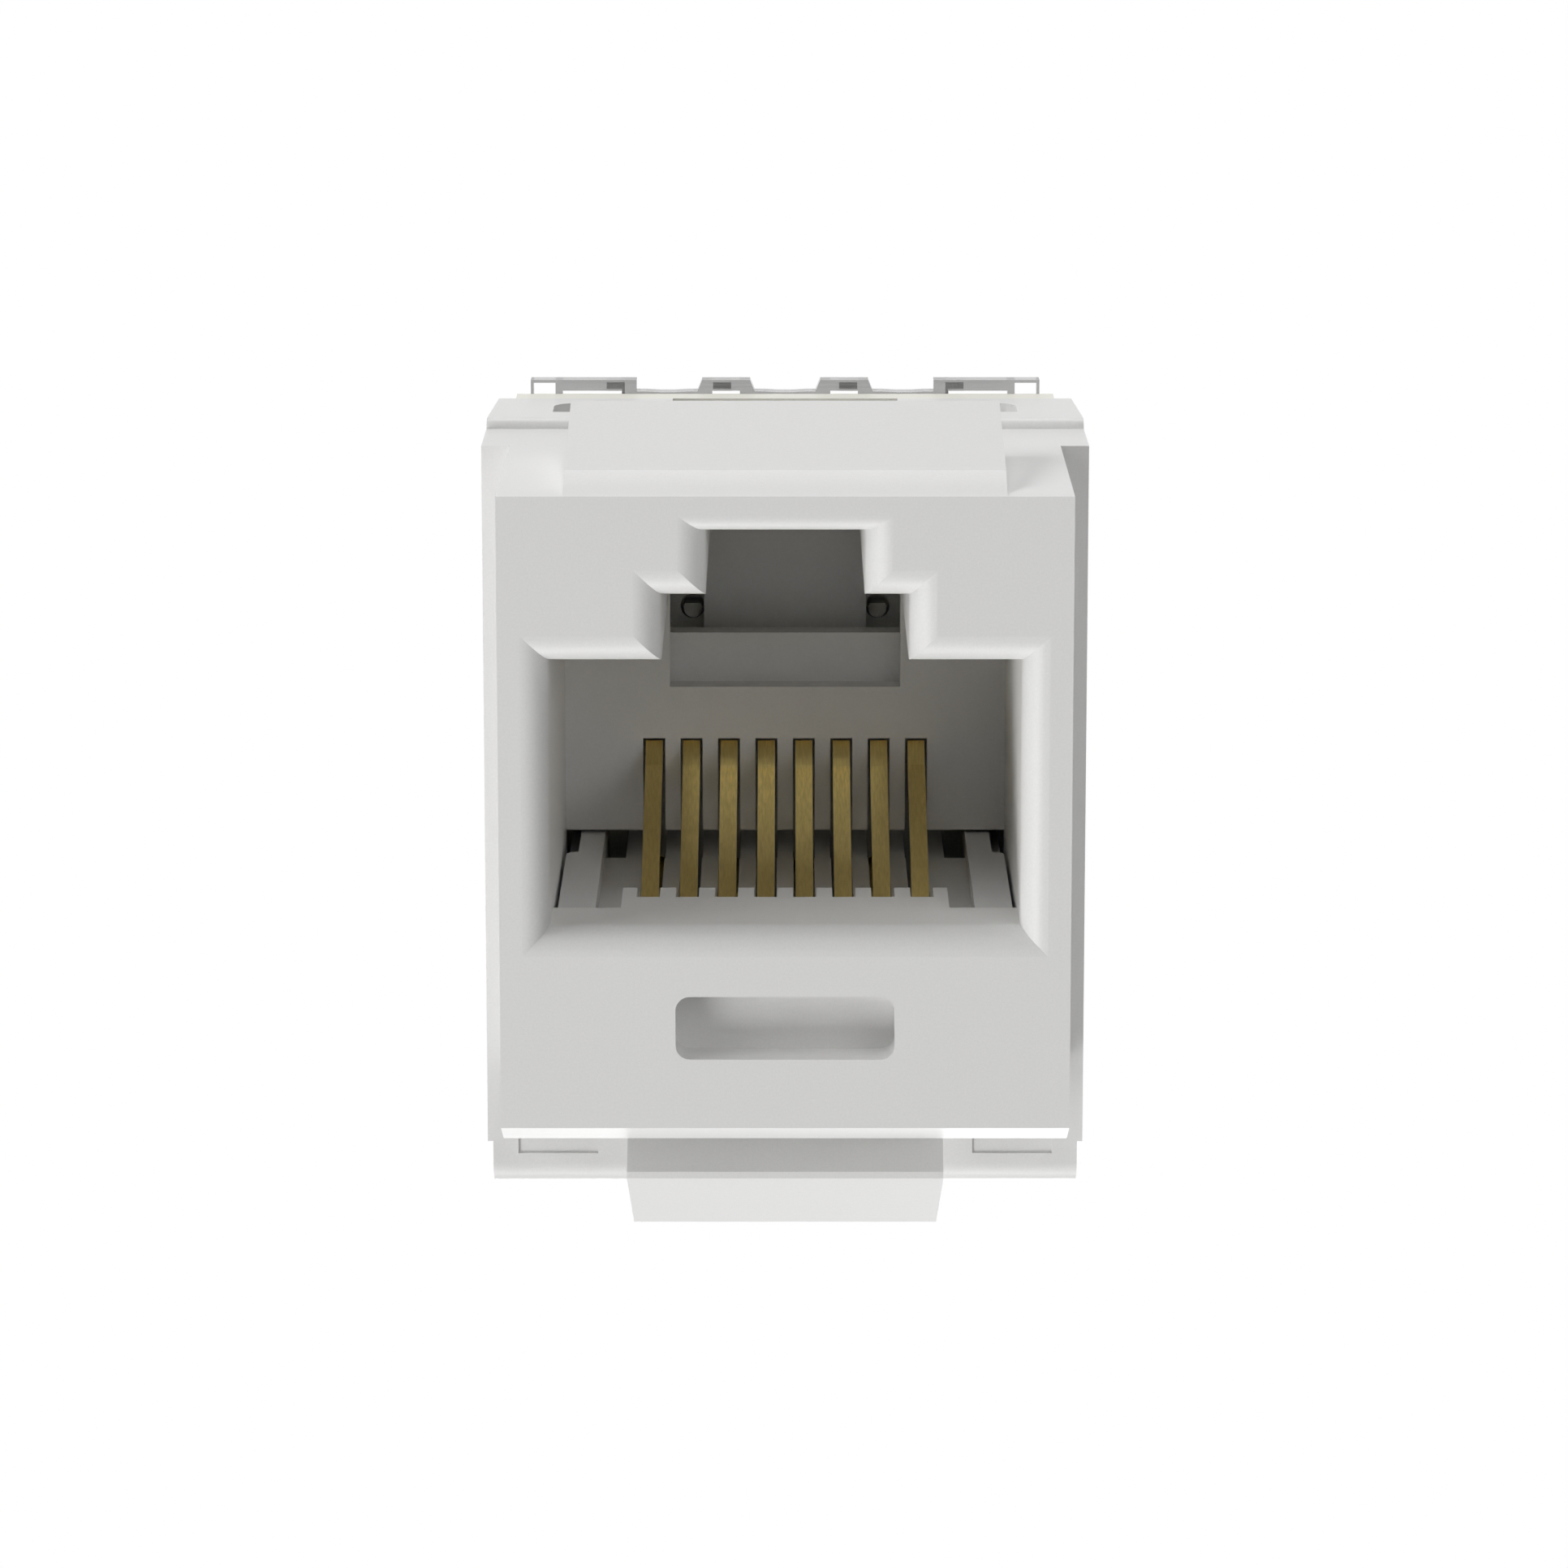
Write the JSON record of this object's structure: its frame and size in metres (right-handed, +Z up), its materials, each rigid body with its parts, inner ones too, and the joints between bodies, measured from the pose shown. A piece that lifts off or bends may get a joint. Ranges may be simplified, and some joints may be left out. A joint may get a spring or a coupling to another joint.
{
  "type": "keystone jack",
  "caption": "White snap-in modular network socket for a panel or wall plate, with gilt contacts, wire slots at the back and a clear pull-off wire cap.",
  "frame": {"origin": "on the plane of the panel ears' front faces, at mid-height and mid-width of the front body", "axes": "+X across the jack, +Y from the plug port towards the cable entry, +Z up towards the springy latch"},
  "size_m": [0.016, 0.0273, 0.0224],
  "materials": {
    "white_plastic": "fine satin moulded white",
    "carrier_plastic": "satin moulded white",
    "gold_contact": "gold plate",
    "board_laminate": "pale solder mask over laminate",
    "ivory_plastic": "satin moulded ivory",
    "tinned_blade": "tin plate",
    "clear_plastic": "clear"
  },
  "bodies": {
    "jack": {"housing": "white_plastic", "contact_carrier": "carrier_plastic", "contact_1": "gold_contact", "contact_2": "gold_contact", "contact_3": "gold_contact", "contact_4": "gold_contact", "contact_5": "gold_contact", "contact_6": "gold_contact", "contact_7": "gold_contact", "contact_8": "gold_contact", "circuit_board": "board_laminate", "wire_block": "ivory_plastic", "wire_blade_1": "tinned_blade", "wire_blade_2": "tinned_blade", "wire_blade_3": "tinned_blade", "wire_blade_4": "tinned_blade", "wire_blade_5": "tinned_blade", "wire_blade_6": "tinned_blade", "wire_blade_7": "tinned_blade", "wire_blade_8": "tinned_blade"},
    "cap": {"wire_cap": "clear_plastic"}
  },
  "joints": [
    {"name": "cap_pull", "type": "slide", "parent": "jack", "child": "cap", "axis": [0, 1, 0], "range_m": [0, 0.012]}
  ]
}
